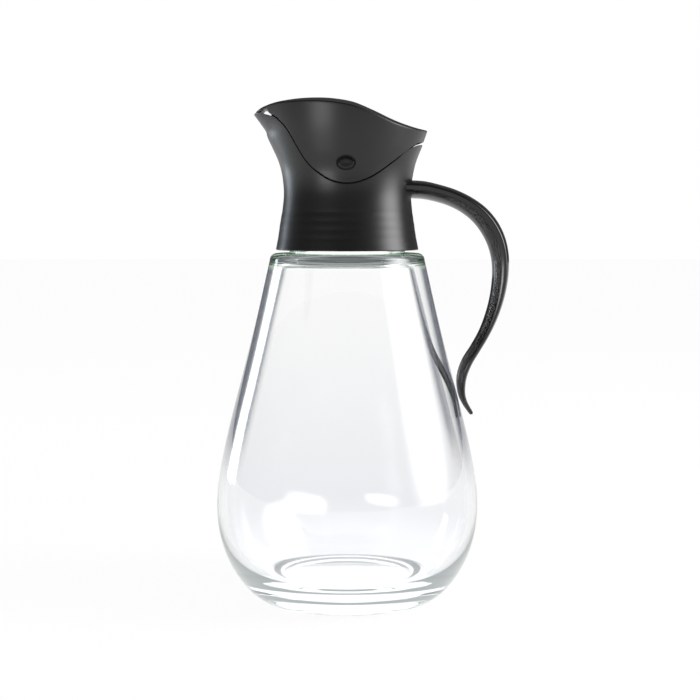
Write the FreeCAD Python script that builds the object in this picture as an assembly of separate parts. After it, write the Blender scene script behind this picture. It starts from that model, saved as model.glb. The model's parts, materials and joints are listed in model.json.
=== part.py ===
"""Syrup dispenser: a pear-shaped glass bottle with a black pouring head, a pivoting lid and a hook handle.

Millimetres, +Z up.  The origin is the centre of the bottle's foot.  -X is the spout side, +X the handle side.
"""

import FreeCAD, Part
import math
import os

V = FreeCAD.Vector
FAR = 60.0                   # cutting shapes reach this far out, past the whole head
ABOVE_ALL = 200.0            # and this far up
HEAD_TOP_Z = 182.0           # the head's turned shapes end here, above the roof, before they are trimmed

# --- glass bottle -----------------------------------------------------------------------------------------
FOOT_INNER_R = 28.6          # the flat ring that the bottle stands on
FOOT_OUTER_R = 31.6
SHOULDER_Z = 123.2           # flat top of the shoulder, under the pouring head
SHOULDER_R = 27.52
SHOULDER_ROUND = 2.4
SHOULDER_GLASS = 2.9
NECK_R = 20.5
NECK_BORE_R = 16.8
NECK_TOP_Z = 140.2
LIP_ROUND = 1.2
CAVITY_ROUND = 1.0           # where the inner shoulder turns up into the neck's bore
# Outside of the bottle between the foot and the shoulder: (radius, z).
OUTER_LINE = ((34.55, 2.0), (37.45, 5.0), (42.1, 12.0), (45.2, 20.0), (46.8, 33.6), (45.05, 48.8), (38.8, 74.9),
              (32.7, 98.6))
# Inside of the bottle from the lowest ring of its floor to under the shoulder; the wall is 3.9 thick at the belly.
INNER_LINE = ((24.5, 7.0), (33.0, 9.3), (38.4, 15.0), (41.6, 22.5), (42.9, 33.6), (41.1, 48.8), (34.75, 74.9),
              (28.7, 98.6), (24.0, 117.0))
INNER_SHOULDER = ((23.1, 119.3), (20.6, SHOULDER_Z - SHOULDER_GLASS))
FLOOR_Z = 9.0                # inner floor, at the axis
PUNT_Z = 4.6                 # hollow under the base, at the axis
PUNT_EDGE = ((25.6, 1.6), (27.3, 0.45), (FOOT_INNER_R, 0.0))

# --- pouring head -----------------------------------------------------------------------------------------
COLLAR_Z = 124.4             # lower rim of the collar
COLLAR_WALL = 1.7
LID_WALL = 1.5
LID_EDGE = 0.3               # the skirt thins to this at its lower rear edge, to swing down past the collar
LID_EDGE_GROWS = (0.05, 0.09)    # its wall by height above the seam: these times the height and the height squared
THINNED_OVER = 8.0           # the thinning comes in over this much of X, from front to back
ROOF_WALL = 1.6
SEAM_GAP = 0.35              # between the collar's upper edge and the lid's lower edge
REAR_GAP = (0.65, 1.1)       # the same at the last two points of the seam
NECK_FIT = 0.04              # radial gap between the neck and the collar's bore
SEAT_Z = NECK_TOP_Z          # the neck's lip seats against this ledge
SEAT_BORE_R = 17.2
SEAT_THICKNESS = 1.6
SPOUT_SHARPNESS = 13         # how narrow the spout is, seen from above

# Radius of the head by height, at the back, the front and the sides: (z, radius).
BACK_LINE = ((124.4, 25.35), (129.0, 24.45), (134.0, 23.7), (139.0, 22.98), (144.5, 22.6), (149.0, 23.0),
             (151.7, 23.47), (154.5, 24.11), (157.3, 25.08), (160.1, 26.24), (162.95, 27.2), (165.0, 27.92), (182, 33.0))
FRONT_LINE = ((124.4, 25.35), (129.0, 24.5), (134.0, 23.78), (139.0, 22.9), (144.5, 22.43), (149.0, 22.75),
              (152.5, 23.35), (156.0, 24.45), (160.0, 26.28), (163.8, 28.05), (164.3, 28.25), (165.1, 28.33),
              (168.5, 30.4), (171.9, 32.9), (182, 40.0))
SIDE_LINE = ((124.4, 25.35), (129.0, 24.45), (134.0, 23.6), (139.5, 22.75), (145.5, 22.2), (152.0, 22.75),
             (158.5, 24.8), (166.0, 26.9), (182, 29.2))
LID_SIDE_LINE = ((124.4, 25.7), (134.0, 24.2), (145.5, 23.25), (152.0, 23.75), (158.5, 25.55), (166.0, 27.3),
                 (182, 29.5))

# The joint between collar and lid, seen from the side: (x, z).
SEAM = ((-24.3, 169.9), (-20.9, 166.2), (-18.7, 162.5), (-14.6, 155.6), (-8.7, 150.15), (-0.6, 147.45),
        (7.2, 149.15), (16.0, 154.85), (22.7, 160.0), (25.2, 161.0), (27.2, 161.3))
SPOUT_RIM = ((-25.1, 170.5), (-27.9, 171.44), (-29.2, 171.8), (-29.4, 172.3), (-32.0, 172.3), (-33.2, 171.75))
LID_MOUTH = ((-25.1, 170.85), (-26.6, 171.5), (-27.3, 172.1), (-27.45, 174.0), (-28.9, 174.0), (-29.5, 172.6),
             (-31.8, 172.5))
BEAK_X = -31.9
LID_REAR_X = 24.6            # where the lid's lower edge leaves the seam's curve at the back
# Middle line of the lid's roof, seen from the side: (x, z).
RIDGE = ((-40.0, 163.5), (-31.9, 172.72), (-30.05, 174.13), (-27.9, 175.17), (-24.7, 176.25), (-20.9, 177.0),
         (-16.6, 177.55), (-12.4, 177.8), (-3.9, 177.45), (2.4, 176.25), (8.8, 173.62), (17.2, 169.68), (23.6, 167.42),
         (27.7, 166.35), (36.0, 165.2))
ROOF_FALL = 0.149            # the roof slopes down to both sides by this, away from a rounded crest
ROOF_CREST = 10.0
LIP_WALL = 0.7               # a lip inside the lid's front edge laps the collar's wall, so no light shows there
LIP_FIT = 0.35
LIP_DROP = 1.2
LIP_RISE = 1.6
LIP_WELD = 0.15              # how far its pieces run into each other
LIP_ENDS_X = (-24.6, -8.5)

# --- pivot ------------------------------------------------------------------------------------------------
PIVOT_X = -0.35
PIVOT_Z = 154.25
BUTTON_LENGTH = 5.4
BUTTON_HEIGHT = 3.6
BUTTON_GAP = 0.6
BUTTON_SUNK = 0.15           # its face lies this far under the skirt's surface
POCKET_DEPTH = 1.1
SHANK_R = 1.5
SHANK_FIT = 0.05
EAR_R = 5.5
EAR_OUTER_Y = 19.7
EAR_THICKNESS = 2.0
BOSS_R = 5.0
BOSS_FACE_Y = 20.0

# --- handle: (x, z, thickness in its own plane, width across) at stations along its middle line --------------
HANDLE = ((17.0, 145.4, 6.4, 19.6), (22.0, 145.8, 6.4, 19.4), (27.0, 145.5, 6.35, 18.4), (32.0, 144.43, 6.2, 17.2),
          (37.2, 142.8, 6.25, 16.2), (42.25, 140.3, 6.45, 15.4), (46.9, 136.8, 6.8, 14.8), (50.5, 132.4, 7.0, 14.2),
          (53.05, 127.25, 6.8, 13.6), (54.35, 121.7, 6.35, 13.0), (54.55, 116.0, 5.9, 12.3), (53.95, 110.35, 5.5, 11.5),
          (52.75, 104.85, 5.05, 10.6), (50.95, 99.4, 4.6, 9.7), (48.65, 94.2, 4.15, 8.8), (45.75, 89.1, 4.0, 8.0),
          (42.85, 84.25, 4.1, 7.2), (41.05, 79.0, 3.75, 6.4), (40.95, 73.7, 2.85, 5.5), (42.2, 69.6, 2.0, 4.8),
          (44.9, 65.3, 1.45, 4.2))
HANDLE_CREASE = 0.22         # the sharp side edges lie this share of the thickness outside the middle line
HANDLE_SEAT_R = 21.9         # the handle's root ends on this radius, inside the collar's wall


def smooth(points):
    """A smooth function through (position, value) points, by cubic pieces with shared slopes."""
    xs = [p[0] for p in points]
    ys = [p[1] for p in points]
    steps = [xs[i + 1] - xs[i] for i in range(len(xs) - 1)]
    rises = [(ys[i + 1] - ys[i]) / steps[i] for i in range(len(steps))]
    slopes = [rises[0]]
    for i in range(1, len(steps)):
        slopes.append((rises[i - 1] * steps[i] + rises[i] * steps[i - 1]) / (steps[i - 1] + steps[i]))
    slopes.append(rises[-1])

    def value(x):
        i = 0
        while i < len(steps) - 1 and x > xs[i + 1]:
            i += 1
        t = (x - xs[i]) / steps[i]
        if t < 0.0:
            return ys[i] + slopes[i] * (x - xs[i])
        if t > 1.0:
            return ys[i + 1] + slopes[i + 1] * (x - xs[i + 1])
        near = (1 + 2 * t) * (1 - t) ** 2 * ys[i] + t * (1 - t) ** 2 * steps[i] * slopes[i]
        far = t * t * (3 - 2 * t) * ys[i + 1] + t * t * (t - 1) * steps[i] * slopes[i + 1]
        return near + far

    return value


back = smooth(BACK_LINE)
front = smooth(FRONT_LINE)
side = smooth(SIDE_LINE)
lid_side = smooth(LID_SIDE_LINE)
ridge = smooth(RIDGE)
seam = smooth(SEAM)


def head_radius(angle, z, side_line):
    """Outer radius of the head: round at the back and the sides, drawn out to a spout at the front."""
    along = math.cos(angle)
    width = side_line(z)
    if along >= 0.0:
        return width + (back(z) - width) * along ** 2
    return width + (front(z) - width) * abs(along) ** SPOUT_SHARPNESS


def collar_radius(angle, z):
    return head_radius(angle, z, side)


def collar_inner_radius(angle, z):
    return collar_radius(angle, z) - COLLAR_WALL


def lid_radius(angle, z):
    return head_radius(angle, z, lid_side)


def lid_inner_radius(angle, z):
    """The skirt's inner face: full wall at the front, thinned towards the seam at the back."""
    outer = lid_radius(angle, z)
    x = outer * math.cos(angle)
    above = max(0.0, z - seam(min(x, SEAM[-1][0])))
    thin = LID_EDGE + LID_EDGE_GROWS[0] * above + LID_EDGE_GROWS[1] * above ** 2
    rearward = min(1.0, max(0.0, 0.5 + x / THINNED_OVER))
    thin = rearward * thin + (1.0 - rearward) * LID_WALL
    return outer - min(LID_WALL, thin)


def ring_section(radius_at, z):
    """A closed smooth curve round the axis at height z."""
    count = 48
    points = []
    for i in range(count):
        angle = 2.0 * math.pi * i / count
        radius = radius_at(angle, z)
        points.append(V(radius * math.cos(angle), radius * math.sin(angle), z))
    curve = Part.BSplineCurve()
    curve.interpolate(Points=points, PeriodicFlag=True, Parameters=[i / count for i in range(count + 1)])
    return Part.Wire(curve.toShape())


def turned_solid(radius_at, heights):
    """A solid whose sides follow radius_at(angle, z) through the given heights."""
    return Part.makeLoft([ring_section(radius_at, z) for z in heights], True, False)


def spline(points):
    """A smooth edge through (x, z) points in the XZ plane."""
    curve = Part.BSplineCurve()
    curve.interpolate(Points=[V(x, 0.0, z) for x, z in points])
    return curve.toShape()


def path(points):
    """Straight edges through (x, z) points in the XZ plane."""
    places = [V(x, 0.0, z) for x, z in points]
    return [Part.makeLine(a, b) for a, b in zip(places, places[1:])]


def arc(a, b, c):
    """An arc through three (x, z) points in the XZ plane."""
    return Part.Arc(V(a[0], 0, a[1]), V(b[0], 0, b[1]), V(c[0], 0, c[1])).toShape()


def corner(centre, radius, start_deg, end_deg):
    """An arc of a circle in the XZ plane, between two angles from +X towards +Z."""
    at = [(centre[0] + radius * math.cos(math.radians(d)), centre[1] + radius * math.sin(math.radians(d)))
          for d in (start_deg, 0.5 * (start_deg + end_deg), end_deg)]
    return arc(*at)


def dome(top_z, rim_r, rim_z):
    """An arc from the axis at top_z out to a rim, centred on the axis."""
    rise = top_z - rim_z
    radius = (rim_r ** 2 + rise ** 2) / (2.0 * rise)
    halfway = 0.5 * rim_r
    return arc((0.0, top_z), (halfway, top_z - radius + math.sqrt(radius ** 2 - halfway ** 2)), (rim_r, rim_z))


def glass_bottle():
    """One thick-walled pear of clear glass, turned about Z: foot ring, hollow base, belly, shoulder and neck."""
    round_x, round_z = SHOULDER_R - SHOULDER_ROUND, SHOULDER_Z - SHOULDER_ROUND
    lip_z = NECK_TOP_Z - LIP_ROUND
    cavity_z = SHOULDER_Z - SHOULDER_GLASS
    bend_x, bend_z = NECK_BORE_R + CAVITY_ROUND, cavity_z + CAVITY_ROUND
    edges = [dome(PUNT_Z, *PUNT_EDGE[0]), arc(*PUNT_EDGE)]
    edges += path((PUNT_EDGE[-1], (FOOT_OUTER_R, 0.0)))
    edges.append(spline(((FOOT_OUTER_R, 0.0),) + OUTER_LINE + ((SHOULDER_R, round_z),)))
    edges.append(corner((round_x, round_z), SHOULDER_ROUND, 0.0, 90.0))
    edges += path(((round_x, SHOULDER_Z), (NECK_R, SHOULDER_Z), (NECK_R, lip_z)))
    edges.append(corner((NECK_R - LIP_ROUND, lip_z), LIP_ROUND, 0.0, 90.0))
    edges += path(((NECK_R - LIP_ROUND, NECK_TOP_Z), (NECK_BORE_R + LIP_ROUND, NECK_TOP_Z)))
    edges.append(corner((NECK_BORE_R + LIP_ROUND, lip_z), LIP_ROUND, 90.0, 180.0))
    edges += path(((NECK_BORE_R, lip_z), (NECK_BORE_R, bend_z)))
    edges.append(corner((bend_x, bend_z), CAVITY_ROUND, 180.0, 270.0))
    edges += path(((bend_x, cavity_z), INNER_SHOULDER[1]))
    edges.append(arc(INNER_SHOULDER[1], INNER_SHOULDER[0], INNER_LINE[-1]))
    edges.append(spline(INNER_LINE[::-1]))
    edges.append(dome(FLOOR_Z, *INNER_LINE[0]))
    edges += path(((0.0, FLOOR_Z), (0.0, PUNT_Z)))
    section = Part.Face(Part.Wire(Part.__sortEdges__(edges)))
    return section.revolve(V(0, 0, 0), V(0, 0, 1), 360.0)


def side_prism(edges):
    """A solid whose outline in the XZ plane is the closed chain of edges, run across the whole head."""
    face = Part.Face(Part.Wire(Part.__sortEdges__(edges)))
    face.translate(V(0, -FAR, 0))
    return face.extrude(V(0, 2 * FAR, 0))


def above_collar():
    """Everything above the collar's upper edge."""
    spout_end = (-FAR, SPOUT_RIM[-1][1])
    around = ((FAR, SEAM[-1][1]), (FAR, ABOVE_ALL), (-FAR, ABOVE_ALL), spout_end) + SPOUT_RIM[::-1]
    return side_prism([spline(SEAM)] + path((SEAM[-1],) + around + (SEAM[0],)))


def beside_seam(x, z, gap):
    """The point a gap above the seam, square to it."""
    slope = (seam(x + 0.1) - seam(x - 0.1)) / 0.2
    length = math.hypot(1.0, slope)
    return x - gap * slope / length, z + gap / length


def seam_band(low, high):
    """A strip along the front of the seam, from low to high above it, run across the whole head."""
    steps = 6
    places = [LIP_ENDS_X[0] + (LIP_ENDS_X[1] - LIP_ENDS_X[0]) * i / steps for i in range(steps + 1)]
    under = [beside_seam(x, seam(x), low) for x in places]
    over = [beside_seam(x, seam(x), high) for x in places]
    return side_prism([spline(under), spline(over)] + path((under[0], over[0])) + path((under[-1], over[-1])))


def below_lid():
    """Everything below the lid's lower edge."""
    edge = [beside_seam(x, z, SEAM_GAP) for x, z in SEAM[:-2]]
    rear_z = SEAM[-1][1] + REAR_GAP[1]
    rear = (edge[-1], (LID_REAR_X, SEAM[-2][1] + REAR_GAP[0]), (SEAM[-1][0], rear_z), (FAR, rear_z))
    mouth = (edge[0],) + LID_MOUTH + ((-FAR, LID_MOUTH[-1][1]), (-FAR, COLLAR_Z), (FAR, COLLAR_Z), rear[-1])
    return side_prism([spline(edge)] + path(rear) + path(mouth))


def above_roof(lowered=0.0):
    """Everything above the lid's roof, which falls away from its middle line to both sides."""
    rows = []
    for x in range(-40, 37, 2):
        rows.append([V(x, y, ridge(x) - lowered - ROOF_FALL * (math.hypot(y, ROOF_CREST) - ROOF_CREST))
                     for y in range(-36, 37, 6)])
    surface = Part.BSplineSurface()
    surface.interpolate(rows)
    return surface.toShape().extrude(V(0, 0, FAR))


def across(x, z, radius, near_y, far_y):
    """A round bar along Y."""
    return Part.makeCylinder(radius, far_y - near_y, V(x, near_y, z), V(0, 1, 0))


def oval_bar(length, height, near_y, far_y):
    """An oval bar along Y on the pivot's axis."""
    outline = Part.Ellipse(V(PIVOT_X, near_y, PIVOT_Z), 0.5 * length, 0.5 * height).toShape()
    outline.rotate(V(PIVOT_X, near_y, PIVOT_Z), V(1, 0, 0), 90)
    return Part.Face(Part.Wire(outline)).extrude(V(0, far_y - near_y, 0))


def mirrored(shape):
    return shape.mirror(V(0, 0, 0), V(0, 1, 0))


def handle():
    """A strap with a rounded inner face, a flatter outer face and a sharp edge along each side."""
    sections = []
    for i, (x, z, thickness, width) in enumerate(HANDLE):
        before = HANDLE[max(0, i - 1)]
        after = HANDLE[min(len(HANDLE) - 1, i + 1)]
        along = V(after[0] - before[0], 0, after[1] - before[1]).normalize()
        outward = V(-along.z, 0, along.x)
        middle = V(x, 0, z)
        crease = middle + outward * (HANDLE_CREASE * thickness)
        edges = []
        for reach in (0.5 - HANDLE_CREASE, -0.5 - HANDLE_CREASE):
            points = []
            for k in range(9):
                turn = math.pi * k / 8.0
                points.append(crease + V(0, 0.5 * width * math.cos(turn), 0)
                              + outward * (reach * thickness * math.sin(turn)))
            if reach < 0.0:
                points.reverse()
            curve = Part.BSplineCurve()
            curve.interpolate(Points=points, Parameters=[k / 8.0 for k in range(9)])
            edges.append(curve.toShape())
        sections.append(Part.Wire(edges))
    strap = Part.makeLoft(sections, True, False)
    return strap.cut(Part.makeCylinder(HANDLE_SEAT_R, 30.0, V(0, 0, HANDLE[0][1] - 15.0)))


def pour_collar(handle_solid):
    """The fixed part of the head: it screws onto the neck, carries the lid's ears and ends in the spout."""
    ledge_z = SEAT_Z + SEAT_THICKNESS
    upper = (145.5, 149.0, 152.0, 155.0, 158.5, 162.0, 165.6, 169.0, 171.9, 176.0)
    collar = turned_solid(collar_radius, (COLLAR_Z, 129.0, 134.0, 140.0) + upper).cut(above_collar())
    collar = collar.cut(turned_solid(collar_inner_radius, (ledge_z,) + upper + (HEAD_TOP_Z,)))
    bore = Part.makeCylinder(NECK_R + NECK_FIT, SEAT_Z - COLLAR_Z + 1.0, V(0, 0, COLLAR_Z - 1.0))
    collar = collar.cut(bore).cut(Part.makeCylinder(SEAT_BORE_R, 10.0, V(0, 0, SEAT_Z - 1.0)))
    inner_y = EAR_OUTER_Y - EAR_THICKNESS
    plate = Part.makeBox(2 * EAR_R, EAR_THICKNESS, PIVOT_Z - ledge_z, V(PIVOT_X - EAR_R, inner_y, ledge_z))
    ear = plate.fuse(across(PIVOT_X, PIVOT_Z, EAR_R, inner_y, EAR_OUTER_Y))
    for part in (ear, mirrored(ear)):
        collar = collar.fuse(part)
    collar = collar.cut(across(PIVOT_X, PIVOT_Z, SHANK_R + SHANK_FIT, -FAR, FAR))
    return collar.cut(handle_solid.copy())


def lip():
    """The lid's inner lip: a tongue inside the collar's wall, and the bridge that joins it to the skirt."""
    heights = tuple(146.0 + 2.5 * i for i in range(13))
    inner = turned_solid(lambda angle, z: collar_inner_radius(angle, z) - LIP_FIT - LIP_WALL, heights)
    tongue = turned_solid(lambda angle, z: collar_inner_radius(angle, z) - LIP_FIT, heights)
    bridge = turned_solid(lambda angle, z: lid_radius(angle, z) - LID_WALL + LIP_WELD, heights)
    tongue = tongue.common(seam_band(-LIP_DROP, SEAM_GAP + LIP_WELD))
    bridge = bridge.common(seam_band(0.0, LIP_RISE)).cut(below_lid())
    return tongue.fuse(bridge).cut(inner)


def flap_lid():
    """The moving part of the head: a domed roof with a beak over the spout and a skirt that carries the pivot."""
    heights = (142.0, 145.5, 149.0, 152.0, 155.0, 158.5, 162.0, 165.6, 169.0, 172.5, 176.0, HEAD_TOP_Z)
    whole = turned_solid(lid_radius, heights).cut(above_roof()).cut(below_lid())
    whole = whole.cut(Part.makeBox(FAR, 2 * FAR, FAR, V(BEAK_X - FAR, -FAR, COLLAR_Z)))
    inner_heights = tuple(141.0 + 1.25 * i for i in range(22)) + (171.0, 175.0, 179.0, HEAD_TOP_Z + 1.0)
    cavity = turned_solid(lid_inner_radius, inner_heights).cut(above_roof(ROOF_WALL))
    lid = whole.cut(cavity).fuse(lip())
    boss = across(PIVOT_X, PIVOT_Z, BOSS_R, BOSS_FACE_Y, FAR).common(whole)
    pocket_y = lid_radius(math.pi / 2.0, PIVOT_Z) - POCKET_DEPTH
    pocket = oval_bar(BUTTON_LENGTH + 2 * BUTTON_GAP, BUTTON_HEIGHT + 2 * BUTTON_GAP, pocket_y, FAR)
    for flip in (lambda shape: shape, mirrored):
        lid = lid.fuse(flip(boss)).cut(flip(pocket))
    return lid.cut(across(PIVOT_X, PIVOT_Z, SHANK_R, -FAR, FAR))


def pivot_button():
    """An oval button in the lid's pocket, with the shank that turns in the collar's ear."""
    skirt_y = lid_radius(math.pi / 2.0, PIVOT_Z)
    floor_y = skirt_y - POCKET_DEPTH
    head = oval_bar(BUTTON_LENGTH, BUTTON_HEIGHT, floor_y, skirt_y - BUTTON_SUNK)
    shank = across(PIVOT_X, PIVOT_Z, SHANK_R, EAR_OUTER_Y - EAR_THICKNESS, floor_y + BUTTON_SUNK)
    return head.fuse(shank).removeSplitter()


def main():
    os.makedirs("parts", exist_ok=True)
    handle_solid = handle()
    button = pivot_button()
    nodes = {
        "glass_bottle": glass_bottle(),
        "pour_collar": pour_collar(handle_solid),
        "flap_lid": flap_lid(),
        "pivot_button_front": mirrored(button),
        "pivot_button_back": button,
        "handle": handle_solid,
    }
    for name, shape in nodes.items():
        solids = shape.Solids
        print(name, "valid", shape.isValid(), "solids", len(solids), "volume", round(shape.Volume, 1),
              "box", [round(v, 2) for v in (shape.BoundBox.XMin, shape.BoundBox.XMax, shape.BoundBox.YMin,
                                            shape.BoundBox.YMax, shape.BoundBox.ZMin, shape.BoundBox.ZMax)])
        solids[0].exportStep("parts/" + name + ".step")


main()
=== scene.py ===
"""Looks of an empty syrup dispenser: a thick clear glass bottle under a black pouring head with a tilting lid.

Sizes are in millimetres inside the classes and turned into metres where a mesh is made.
+Z is up, -X is the spout's side, +X the handle's side, and the bottle's foot stands on Z = 0.
"""

import json
import logging
import math
from dataclasses import dataclass, field
from enum import Enum
from typing import Callable, Optional, Sequence, Union

import bmesh
import bpy
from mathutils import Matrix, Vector

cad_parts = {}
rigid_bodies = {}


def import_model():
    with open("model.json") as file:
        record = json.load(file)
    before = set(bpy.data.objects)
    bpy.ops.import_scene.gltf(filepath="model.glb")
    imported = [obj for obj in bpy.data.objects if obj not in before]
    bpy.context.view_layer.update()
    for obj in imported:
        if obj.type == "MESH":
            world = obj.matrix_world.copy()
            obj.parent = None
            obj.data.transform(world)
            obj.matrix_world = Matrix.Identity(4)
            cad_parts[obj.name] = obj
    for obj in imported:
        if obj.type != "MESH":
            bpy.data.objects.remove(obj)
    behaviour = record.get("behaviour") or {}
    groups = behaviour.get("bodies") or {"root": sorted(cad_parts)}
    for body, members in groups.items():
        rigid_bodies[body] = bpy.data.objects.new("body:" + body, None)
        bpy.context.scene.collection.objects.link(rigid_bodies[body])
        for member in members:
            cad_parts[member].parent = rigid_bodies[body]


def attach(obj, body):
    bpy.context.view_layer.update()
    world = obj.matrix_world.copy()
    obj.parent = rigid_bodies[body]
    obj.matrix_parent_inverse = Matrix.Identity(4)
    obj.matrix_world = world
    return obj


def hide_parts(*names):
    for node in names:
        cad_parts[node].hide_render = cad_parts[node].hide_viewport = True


for leftover in list(bpy.data.objects):
    bpy.data.objects.remove(leftover)
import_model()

LOG = logging.getLogger("syrup_dispenser")
MM = 0.001

Point = tuple[float, float]
Profile = list[Point]
Colour = tuple[float, float, float, float]
Rings = list[list[Vector]]
Station = tuple[float, float, float, float]

FULL_TURN = 2.0 * math.pi
MERGE_MM = 0.002            # points closer than this are one
ANGLE_STEP = 2.0            # usual step round the head, in degrees
RIM_FROM, RIM_TO = 145.0, 176.0      # the collar's rim lies between these heights all round
ROOF_TO = 182.0             # the roof lies below this height, and the lid's edge a little lower
EDGE_TO = 181.0
CEILING_FROM = 140.0        # the lid's inside lies above this height
ROUND_SIDES = 48            # sides of an ear or a boss
SPOUT_SECTORS = ((140.0, 168.0, 0.4), (168.0, 192.0, 0.75), (192.0, 220.0, 0.4))    # closer steps at the spout
WHITE: Colour = (1.0, 1.0, 1.0, 1.0)
BLACK: Colour = (0.0, 0.0, 0.0, 1.0)


# --- curves -----------------------------------------------------------------------------------------------
@dataclass
class SmoothLine:
    """A smooth function through (position, value) points, by cubic pieces with shared slopes."""

    points: tuple[Point, ...]
    slopes: list[float] = field(init=False)

    def __post_init__(self) -> None:
        """Works out the slope at each point."""
        xs, ys = zip(*self.points)
        steps = [b - a for a, b in zip(xs, xs[1:])]
        rises = [(b - a) / s for a, b, s in zip(ys, ys[1:], steps)]
        inner = [(rises[i - 1] * steps[i] + rises[i] * steps[i - 1]) / (steps[i - 1] + steps[i])
                 for i in range(1, len(steps))]
        self.slopes = [rises[0], *inner, rises[-1]]

    def at(self, x: float) -> float:
        """The value at one position, carried on straight past the ends.

        Args:
            x: position along the line.

        Returns:
            The value there.
        """
        i = 0
        while i < len(self.points) - 2 and x > self.points[i + 1][0]:
            i += 1
        (x0, y0), (x1, y1) = self.points[i], self.points[i + 1]
        step = x1 - x0
        t = (x - x0) / step
        if t < 0.0:
            return y0 + self.slopes[i] * (x - x0)
        if t > 1.0:
            return y1 + self.slopes[i + 1] * (x - x1)
        near = (1 + 2 * t) * (1 - t) ** 2 * y0 + t * (1 - t) ** 2 * step * self.slopes[i]
        return near + t * t * (3 - 2 * t) * y1 + t * t * (t - 1) * step * self.slopes[i + 1]

    def slope(self, x: float) -> float:
        """The slope at one position."""
        return (self.at(x + 0.1) - self.at(x - 0.1)) / 0.2


def straight_run(points: Sequence[Point], x: float) -> float:
    """The value at x on straight pieces between (position, value) points, level past both ends."""
    ordered = sorted(points)
    if x <= ordered[0][0]:
        return ordered[0][1]
    for (x0, y0), (x1, y1) in zip(ordered, ordered[1:]):
        if x <= x1:
            return y0 + (y1 - y0) * (x - x0) / (x1 - x0)
    return ordered[-1][1]


def natural_pull(knots: Sequence[float], values: Sequence[float]) -> list[float]:
    """Second derivatives of the natural cubic spline through values at knots.

    Args:
        knots: rising positions.
        values: one value for each.

    Returns:
        The second derivative at each knot, zero at both ends.
    """
    count = len(knots)
    upper, right = [0.0] * count, [0.0] * count
    for i in range(1, count - 1):
        before, after = knots[i] - knots[i - 1], knots[i + 1] - knots[i]
        bend = 6.0 * ((values[i + 1] - values[i]) / after - (values[i] - values[i - 1]) / before)
        pivot = 2.0 * (before + after) - before * upper[i - 1]
        upper[i] = after / pivot
        right[i] = (bend - before * right[i - 1]) / pivot
    pulls = [0.0] * count
    for i in range(count - 2, 0, -1):
        pulls[i] = right[i] - upper[i] * pulls[i + 1]
    return pulls


def fair_curve(points: Sequence[Point], count: int) -> Profile:
    """Points evenly spread along a fair curve, whose bending changes smoothly, through the given points.

    Args:
        points: (radius, height) places that the curve passes.
        count: how many points to return.

    Returns:
        The points, both ends included.
    """
    knots = [0.0]
    for a, b in zip(points, points[1:]):
        knots.append(knots[-1] + math.hypot(b[0] - a[0], b[1] - a[1]))
    axes = [[p[k] for p in points] for k in (0, 1)]
    pulls = [natural_pull(knots, axis) for axis in axes]
    made: Profile = []
    i = 0
    for n in range(count):
        t = knots[-1] * n / (count - 1)
        while i < len(knots) - 2 and t > knots[i + 1]:
            i += 1
        step = knots[i + 1] - knots[i]
        b = (t - knots[i]) / step
        a = 1.0 - b
        place = [a * v[i] + b * v[i + 1] + ((a ** 3 - a) * m[i] + (b ** 3 - b) * m[i + 1]) * step * step / 6.0
                 for v, m in zip(axes, pulls)]
        made.append((place[0], place[1]))
    return made


def arc_points(centre: Point, radius: float, start_deg: float, end_deg: float, count: int) -> Profile:
    """Points on an arc between two angles, measured from +radius towards +height, both ends included."""
    turns = [math.radians(start_deg + (end_deg - start_deg) * i / (count - 1)) for i in range(count)]
    return [(centre[0] + radius * math.cos(t), centre[1] + radius * math.sin(t)) for t in turns]


def line_points(a: Point, b: Point, count: int) -> Profile:
    """Evenly spread points from a to b, both ends included."""
    return [(a[0] + (b[0] - a[0]) * i / (count - 1), a[1] + (b[1] - a[1]) * i / (count - 1))
            for i in range(count)]


def dome_points(top_z: float, rim: Point, count: int) -> Profile:
    """Points on a shallow dome from the axis out to its rim."""
    rise = top_z - rim[1]
    radius = (rim[0] ** 2 + rise ** 2) / (2.0 * rise)
    places = [rim[0] * i / (count - 1) for i in range(count)]
    return [(r, top_z - radius + math.sqrt(radius ** 2 - r ** 2)) for r in places]


def trimmed(section: Profile, start: float, end: float) -> Profile:
    """A run of points shortened at both ends and spread evenly again, with as many points as before."""
    marks = [0.0]
    for a, b in zip(section, section[1:]):
        marks.append(marks[-1] + math.hypot(b[0] - a[0], b[1] - a[1]))
    length = marks[-1]
    start, end = min(start, 0.45 * length), min(end, 0.45 * length)
    made: Profile = []
    i = 0
    for n in range(len(section)):
        s = start + (length - start - end) * n / (len(section) - 1)
        while i < len(marks) - 2 and s > marks[i + 1]:
            i += 1
        step = marks[i + 1] - marks[i]
        t = (s - marks[i]) / step if step > 1e-9 else 0.0
        (r0, z0), (r1, z1) = section[i], section[i + 1]
        made.append((r0 + (r1 - r0) * t, z0 + (z1 - z0) * t))
    return made


def rounded_outline(sections: Sequence[Profile], rounds: Sequence[float], closed: bool = True,
                    steps: int = 4) -> Profile:
    """Joins runs of points end to end, with each corner between two runs rounded.

    Args:
        sections: runs of points, each starting where the one before ends.
        rounds: how far back from the corner before each run the rounding starts.
        closed: whether the last run ends where the first starts.
        steps: points added in each corner.

    Returns:
        One outline whose number of points depends on the runs' lengths alone.
    """
    count = len(sections)
    cuts = list(rounds) + [rounds[0] if closed else 0.0]
    made: Profile = []
    pieces = [trimmed(s, cuts[i] if closed or i else 0.0, cuts[i + 1]) for i, s in enumerate(sections)]
    for i, piece in enumerate(pieces):
        made += piece
        if i == count - 1 and not closed:
            break
        following = pieces[(i + 1) % count]
        corner = sections[i][-1]
        for k in range(1, steps + 1):
            t = k / (steps + 1)
            weights = ((1 - t) ** 2, 2 * t * (1 - t), t * t)
            places = (piece[-1], corner, following[0])
            made.append((sum(w * p[0] for w, p in zip(weights, places)),
                         sum(w * p[1] for w, p in zip(weights, places))))
    return made


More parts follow.
